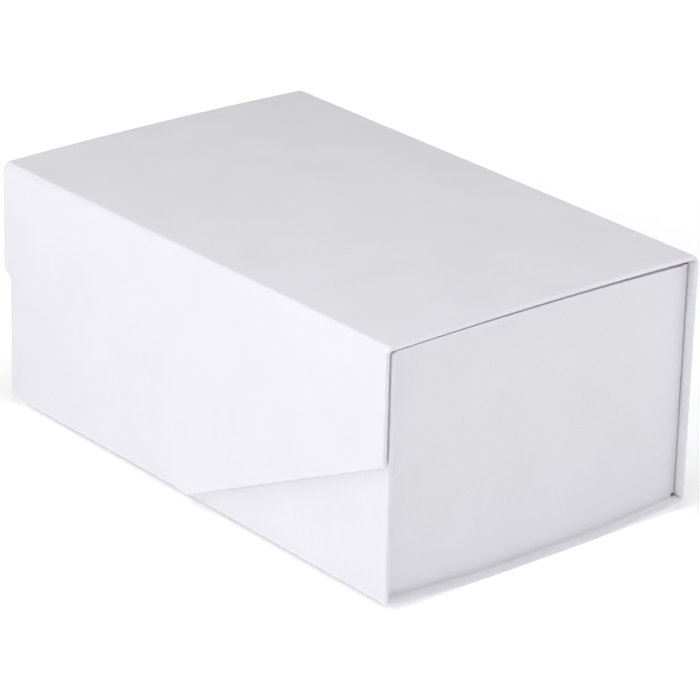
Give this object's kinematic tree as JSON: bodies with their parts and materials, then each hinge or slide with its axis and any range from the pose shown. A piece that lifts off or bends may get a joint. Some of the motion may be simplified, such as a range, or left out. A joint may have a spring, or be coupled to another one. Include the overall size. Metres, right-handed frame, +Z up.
{
  "type": "hinged gift box",
  "caption": "White paper-wrapped rigid gift box, long and low, with a one-piece hinged lid whose pointed front flap closes magnetically over the front wall.",
  "frame": {"origin": "middle of the footprint, closed, on the table under the base", "axes": "+X along the width to the right end, -Y towards the flap, +Z up"},
  "size_m": [0.23, 0.1492, 0.1035],
  "materials": {
    "wrap_paper": "matte laminated",
    "lining_paper": "matte uncoated",
    "greyboard": "raw board",
    "tape": "double-sided tape",
    "magnet": "nickel-plated",
    "steel_plate": "bare steel"
  },
  "bodies": {
    "box": {"base_board": "greyboard", "base_wrap": "wrap_paper", "base_lining": "lining_paper", "front_board": "greyboard", "front_wrap": "wrap_paper", "front_lining": "lining_paper", "back_board": "greyboard", "back_wrap": "wrap_paper", "back_lining": "lining_paper", "front_base_fold": "wrap_paper", "back_base_fold": "wrap_paper", "lid_fold": "wrap_paper", "left_end_board": "greyboard", "left_end_wrap": "wrap_paper", "left_end_lining": "lining_paper", "left_front_ear_board": "greyboard", "left_rear_ear_board": "greyboard", "left_front_ear_tape": "tape", "left_rear_ear_tape": "tape", "left_foot_fold": "wrap_paper", "left_front_plate": "steel_plate", "right_end_board": "greyboard", "right_end_wrap": "wrap_paper", "right_end_lining": "lining_paper", "right_front_ear_board": "greyboard", "right_rear_ear_board": "greyboard", "right_front_ear_tape": "tape", "right_rear_ear_tape": "tape", "right_foot_fold": "wrap_paper", "right_front_plate": "steel_plate"},
    "lid": {"lid_board": "greyboard", "lid_wrap": "wrap_paper", "lid_lining": "lining_paper", "flap_fold": "wrap_paper"},
    "flap": {"flap_board": "greyboard", "flap_wrap": "wrap_paper", "flap_lining": "lining_paper", "left_flap_magnet": "magnet", "right_flap_magnet": "magnet"}
  },
  "joints": [
    {"name": "lid_hinge", "type": "hinge", "parent": "box", "child": "lid", "pos_m": [0, 0.07383, 0.10168], "axis": [-1, 0, 0], "range_deg": [0, 180], "deforming": ["lid_fold"]},
    {"name": "flap_hinge", "type": "hinge", "parent": "lid", "child": "flap", "pos_m": [0, -0.07383, 0.10168], "axis": [-1, 0, 0], "range_deg": [0, 180], "deforming": ["flap_fold"]}
  ]
}
